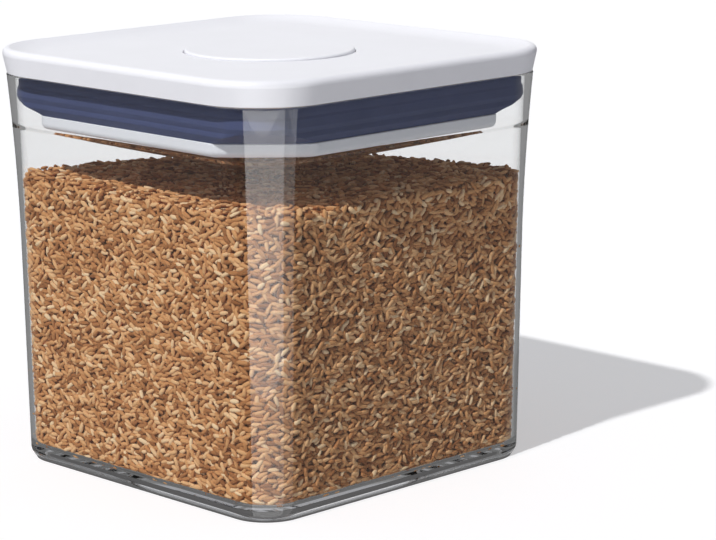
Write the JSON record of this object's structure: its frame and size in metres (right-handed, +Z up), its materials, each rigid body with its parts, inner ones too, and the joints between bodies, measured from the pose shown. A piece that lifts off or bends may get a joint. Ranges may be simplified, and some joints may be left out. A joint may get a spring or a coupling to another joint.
{
  "type": "food storage container",
  "caption": "Square clear food storage container with a push-button lid whose button squeezes a silicone gasket against the wall to seal it.",
  "frame": {"origin": "middle of the base, on the surface that the container stands on", "axes": "+Z up, +X and +Y square to the side walls; the container is alike on all four sides"},
  "size_m": [0.16, 0.16, 0.16],
  "materials": {
    "clear_plastic": "clear moulded plastic, glossy",
    "white_plastic": "satin white moulded plastic",
    "inner_plastic": "matt white moulded plastic",
    "lever_plastic": "grey low-friction plastic",
    "silicone": "dark blue silicone, satin",
    "steel": "bright steel"
  },
  "bodies": {
    "container": {"container_body": "clear_plastic"},
    "lid": {"lid_cap": "white_plastic", "lid_housing": "inner_plastic", "gasket": "silicone", "mechanism_cover": "inner_plastic", "latch_pin": "steel", "return_spring": "steel", "housing_screws": "steel", "cover_screws": "steel", "pivot_pin_front_right": "steel", "pivot_pin_back_right": "steel", "pivot_pin_back_left": "steel", "pivot_pin_front_left": "steel"},
    "button": {"button": "white_plastic", "latch_cam": "lever_plastic"},
    "frame": {"compression_frame": "white_plastic", "bottom_cover": "white_plastic", "lift_pin_front_right": "steel", "lift_pin_back_right": "steel", "lift_pin_back_left": "steel", "lift_pin_front_left": "steel"},
    "latch_follower": {"latch_follower": "lever_plastic"},
    "lever_front_right": {"lever_front_right": "lever_plastic"},
    "lever_back_right": {"lever_back_right": "lever_plastic"},
    "lever_back_left": {"lever_back_left": "lever_plastic"},
    "lever_front_left": {"lever_front_left": "lever_plastic"}
  },
  "joints": [
    {"name": "lid_lift", "type": "slide", "parent": "container", "child": "lid", "axis": [0, 0, 1], "range_m": [0, 0.08]},
    {"name": "button_travel", "type": "slide", "parent": "lid", "child": "button", "axis": [0, 0, 1], "range_m": [0, 0.01617], "deforming": ["return_spring"]},
    {"name": "frame_drop", "type": "slide", "parent": "lid", "child": "frame", "axis": [0, 0, -1], "range_m": [0, 0.00351], "deforming": ["gasket"]},
    {"name": "lever_front_right_rock", "type": "hinge", "parent": "lid", "child": "lever_front_right", "pos_m": [0.04405, -0.04405, 0.14339], "axis": [0.7071, 0.7071, 0], "range_deg": [0, 29.8]},
    {"name": "lever_back_right_rock", "type": "hinge", "parent": "lid", "child": "lever_back_right", "pos_m": [0.04405, 0.04405, 0.14339], "axis": [-0.7071, 0.7071, 0], "range_deg": [0, 29.8]},
    {"name": "lever_back_left_rock", "type": "hinge", "parent": "lid", "child": "lever_back_left", "pos_m": [-0.04405, 0.04405, 0.14339], "axis": [-0.7071, -0.7071, 0], "range_deg": [0, 29.8]},
    {"name": "lever_front_left_rock", "type": "hinge", "parent": "lid", "child": "lever_front_left", "pos_m": [-0.04405, -0.04405, 0.14339], "axis": [0.7071, -0.7071, 0], "range_deg": [0, 29.8]},
    {"name": "latch_swing", "type": "hinge", "parent": "lid", "child": "latch_follower", "pos_m": [0.0015, -0.005, 0.1386], "axis": [0, 1, 0], "range_deg": [-10.4, 0]}
  ],
  "couplings": [
    {"joint": "frame_drop", "follows": "button_travel", "ratio": 0.21677},
    {"joint": "lever_front_right_rock", "follows": "button_travel", "rad_per_m": 32.103},
    {"joint": "lever_back_right_rock", "follows": "button_travel", "rad_per_m": 32.103},
    {"joint": "lever_back_left_rock", "follows": "button_travel", "rad_per_m": 32.103},
    {"joint": "lever_front_left_rock", "follows": "button_travel", "rad_per_m": 32.103},
    {"joint": "latch_swing", "follows": "button_travel", "rad_per_m": -11.026}
  ]
}
